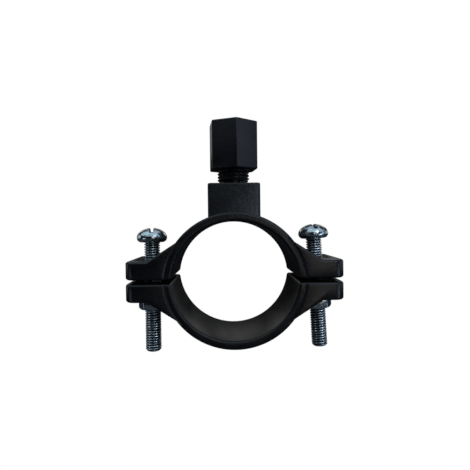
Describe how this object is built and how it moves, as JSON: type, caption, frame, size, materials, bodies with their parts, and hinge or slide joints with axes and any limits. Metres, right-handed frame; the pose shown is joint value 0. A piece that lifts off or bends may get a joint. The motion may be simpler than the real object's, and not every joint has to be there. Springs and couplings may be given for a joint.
{
  "type": "drain saddle clamp",
  "caption": "Split plastic saddle clamp for a drain pipe: ears drawn together by screws and nuts, and a threaded port whose hexagonal compression nut grips a small drain tube.",
  "frame": {"origin": "on the axis of the drain pipe, at the middle of the gap between the halves and of their depth", "axes": "+X towards the right ear, +Y along the drain pipe, away from the side seen in front view, +Z out of the port, through the compression nut"},
  "size_m": [0.065, 0.026, 0.0729],
  "materials": {
    "black_plastic": "moulded, satin",
    "natural_plastic": "moulded, unpigmented",
    "zinc_plated_steel": "bright zinc plated"
  },
  "bodies": {
    "lower_half": {"lower_saddle": "black_plastic", "hex_nut_left": "zinc_plated_steel", "hex_nut_right": "zinc_plated_steel"},
    "upper_half": {"upper_saddle": "black_plastic"},
    "screw_left": {"clamp_screw_left": "zinc_plated_steel"},
    "screw_right": {"clamp_screw_right": "zinc_plated_steel"},
    "sleeve": {"compression_sleeve": "natural_plastic"},
    "nut": {"compression_nut": "black_plastic"}
  },
  "joints": [
    {"name": "saddle_lift", "type": "slide", "parent": "lower_half", "child": "upper_half", "axis": [0, 0, 1], "range_m": [-0.0011, 0.0026]},
    {"name": "screw_left_travel", "type": "slide", "parent": "lower_half", "child": "screw_left", "axis": [0, 0, 1], "range_m": [-0.0023, 0.016]},
    {"name": "screw_right_travel", "type": "slide", "parent": "lower_half", "child": "screw_right", "axis": [-0.0523, 0, 0.9986], "range_m": [-0.003, 0.0153]},
    {"name": "sleeve_rise", "type": "slide", "parent": "upper_half", "child": "sleeve", "axis": [0, 0, 1], "range_m": [-0.0008, 0.0085]},
    {"name": "nut_turn", "type": "hinge", "parent": "sleeve", "child": "nut", "pos_m": [0, 0, 0.0417], "axis": [0, 0, 1], "range_deg": [-285, 3050]}
  ],
  "couplings": [
    {"joint": "sleeve_rise", "follows": "nut_turn", "m_per_rad": 0.00015915}
  ]
}
